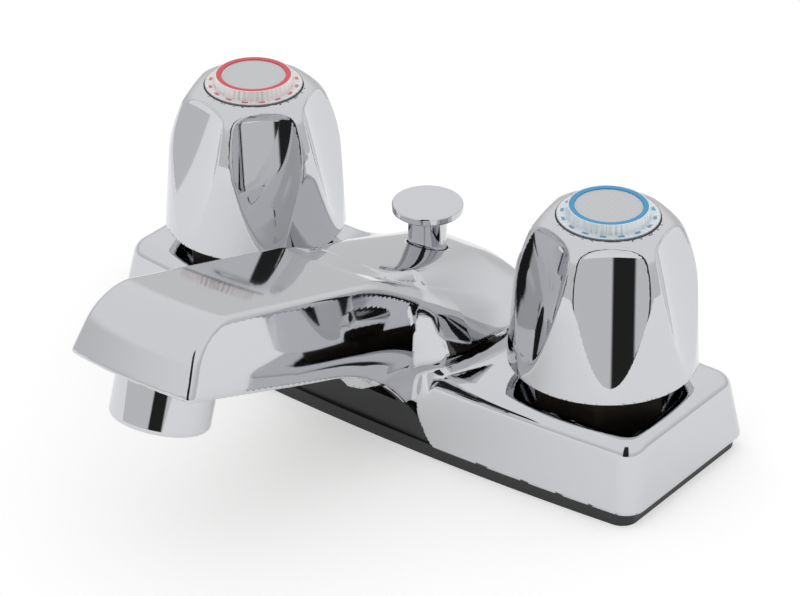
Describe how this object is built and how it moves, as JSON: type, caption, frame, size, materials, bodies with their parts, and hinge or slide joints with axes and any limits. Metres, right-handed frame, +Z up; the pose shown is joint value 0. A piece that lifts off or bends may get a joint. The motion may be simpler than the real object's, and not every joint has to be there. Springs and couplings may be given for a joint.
{
  "type": "centerset bathroom faucet",
  "caption": "Deck-mounted chrome basin faucet: boat-shaped cast body with a sloping spout, fluted hot and cold knobs and a lift rod for the waste.",
  "frame": {"origin": "centre of the base's underside, on the sink deck, midway between the two valve shanks", "axes": "+Z up from the deck, +X towards the cold valve, -Y forward along the spout"},
  "size_m": [0.152, 0.1273, 0.159],
  "materials": {
    "body_shell": "bright chrome plate on cast zinc",
    "base_plate": "black moulded plastic",
    "waterway": "cast brass, machined at the bores and threads",
    "aerator_housing": "bright chrome plate on brass",
    "aerator_screen": "stainless wire mesh",
    "aerator_insert": "moulded grey plastic",
    "aerator_washer": "black rubber",
    "lift_knob": "bright chrome plate on brass",
    "lift_rod": "plated steel rod",
    "shank_washers": "moulded white plastic",
    "shank_nuts": "turned brass",
    "hot_handle": "bright chrome plate on cast zinc",
    "hot_button": "clear acrylic",
    "hot_ring": "red plastic",
    "hot_insert": "silver foil with fine hatching",
    "hot_handle_screw": "plain steel",
    "hot_stem": "turned brass",
    "hot_stem_oring": "black rubber",
    "hot_cartridge": "moulded ivory plastic",
    "hot_bonnet_nut": "turned brass",
    "hot_seat": "black rubber",
    "hot_seat_spring": "stainless wire",
    "cold_handle": "bright chrome plate on cast zinc",
    "cold_button": "clear acrylic",
    "cold_ring": "blue plastic",
    "cold_insert": "silver foil with fine hatching",
    "cold_handle_screw": "plain steel",
    "cold_stem": "turned brass",
    "cold_stem_oring": "black rubber",
    "cold_cartridge": "moulded ivory plastic",
    "cold_bonnet_nut": "turned brass",
    "cold_seat": "black rubber",
    "cold_seat_spring": "stainless wire"
  },
  "bodies": {
    "fixture": {"body_shell": "body_shell", "base_plate": "base_plate", "waterway": "waterway", "aerator_housing": "aerator_housing", "aerator_screen": "aerator_screen", "aerator_insert": "aerator_insert", "aerator_washer": "aerator_washer", "shank_washers": "shank_washers", "shank_nuts": "shank_nuts", "hot_cartridge": "hot_cartridge", "hot_bonnet_nut": "hot_bonnet_nut", "hot_seat": "hot_seat", "hot_seat_spring": "hot_seat_spring", "cold_cartridge": "cold_cartridge", "cold_bonnet_nut": "cold_bonnet_nut", "cold_seat": "cold_seat", "cold_seat_spring": "cold_seat_spring"},
    "hot_valve": {"hot_handle": "hot_handle", "hot_button": "hot_button", "hot_ring": "hot_ring", "hot_insert": "hot_insert", "hot_handle_screw": "hot_handle_screw", "hot_stem": "hot_stem", "hot_stem_oring": "hot_stem_oring"},
    "cold_valve": {"cold_handle": "cold_handle", "cold_button": "cold_button", "cold_ring": "cold_ring", "cold_insert": "cold_insert", "cold_handle_screw": "cold_handle_screw", "cold_stem": "cold_stem", "cold_stem_oring": "cold_stem_oring"},
    "lift": {"lift_knob": "lift_knob", "lift_rod": "lift_rod"}
  },
  "joints": [
    {"name": "hot_handle_turn", "type": "hinge", "parent": "fixture", "child": "hot_valve", "pos_m": [-0.0508, 0, 0.04], "axis": [0, 0, 1], "range_deg": [0, 90]},
    {"name": "cold_handle_turn", "type": "hinge", "parent": "fixture", "child": "cold_valve", "pos_m": [0.0508, 0, 0.04], "axis": [0, 0, 1], "range_deg": [-90, 0]},
    {"name": "lift_rod_slide", "type": "slide", "parent": "fixture", "child": "lift", "axis": [0, 0, 1], "range_m": [0, 0.028]}
  ]
}
